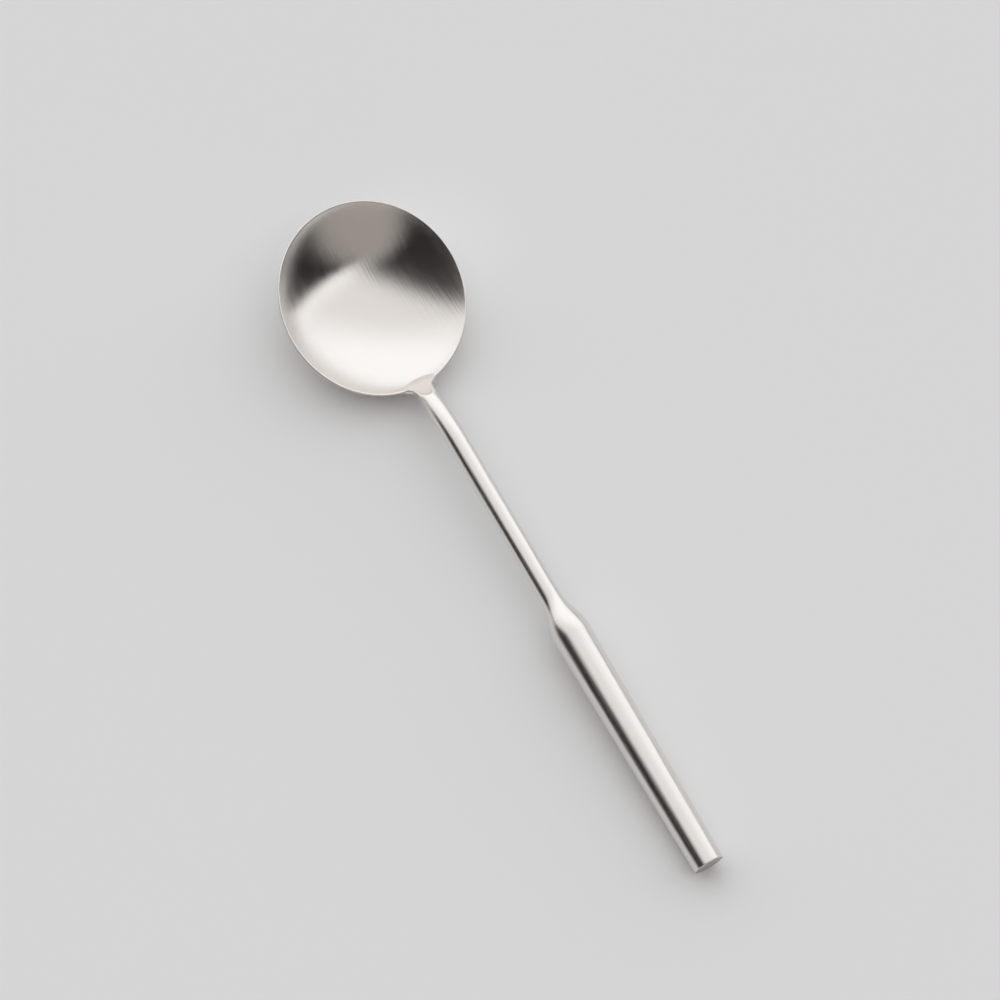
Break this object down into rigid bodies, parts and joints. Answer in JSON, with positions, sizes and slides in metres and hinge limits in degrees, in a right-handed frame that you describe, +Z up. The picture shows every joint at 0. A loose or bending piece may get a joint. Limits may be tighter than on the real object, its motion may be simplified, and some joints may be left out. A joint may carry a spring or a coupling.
{
  "type": "soup spoon",
  "caption": "Satin steel soup spoon: a shallow, nearly round bowl, a slim round neck that bends down to it over a slanted flat, and a thicker round handle that tapers to a flat end.",
  "frame": {"origin": "on the table, under the middle of the spoon's box", "axes": "+X towards the bowl's tip, +Y to the bowl's left, +Z up; the spoon lies as on a table"},
  "size_m": [0.1746, 0.0426, 0.0164],
  "materials": {
    "steel": "satin, brushed in fine lines along the spoon's length"
  },
  "bodies": {
    "root": {"bowl": "steel", "neck_rod": "steel", "handle_tube": "steel", "end_cap": "steel"}
  },
  "joints": []
}
